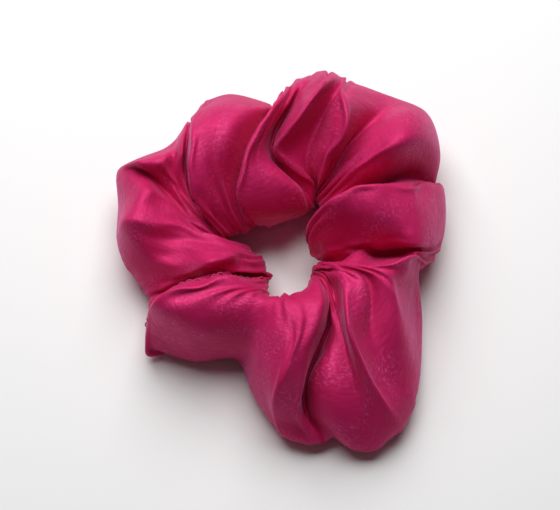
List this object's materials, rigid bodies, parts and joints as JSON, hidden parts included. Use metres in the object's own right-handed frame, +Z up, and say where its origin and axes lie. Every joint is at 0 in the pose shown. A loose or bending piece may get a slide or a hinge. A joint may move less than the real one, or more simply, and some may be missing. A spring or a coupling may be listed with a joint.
{
  "type": "scrunchie",
  "caption": "Gathered satin hair scrunchie: a sewn fabric tube bunched up in soft petals on a hidden loop of flat elastic.",
  "frame": {"origin": "on the surface it rests on, under the centre of its bounding box", "axes": "+Z up through the hole, +X the way it is pulled open, -Y towards the longest petals"},
  "size_m": [0.098, 0.1154, 0.038],
  "materials": {
    "satin": "fuchsia crushed satin, soft sheen with fine sparkle",
    "seam_thread": "matching polyester sewing thread",
    "braided_elastic": "white braided elastic, matt",
    "elastic_thread": "off-white sewing thread"
  },
  "bodies": {
    "held_side": {"cover_held_side": "satin", "elastic_band": "braided_elastic", "elastic_join_thread": "elastic_thread", "closing_seam_thread": "seam_thread", "long_seam_thread_held_side": "seam_thread"},
    "pulled_side": {"cover_pulled_side": "satin", "long_seam_thread_pulled_side": "seam_thread"}
  },
  "joints": [
    {"name": "stretch", "type": "slide", "parent": "held_side", "child": "pulled_side", "axis": [1, 0, 0], "range_m": [0, 0.06], "stiffness_N_per_m": 110, "deforming": ["elastic_band"]}
  ]
}
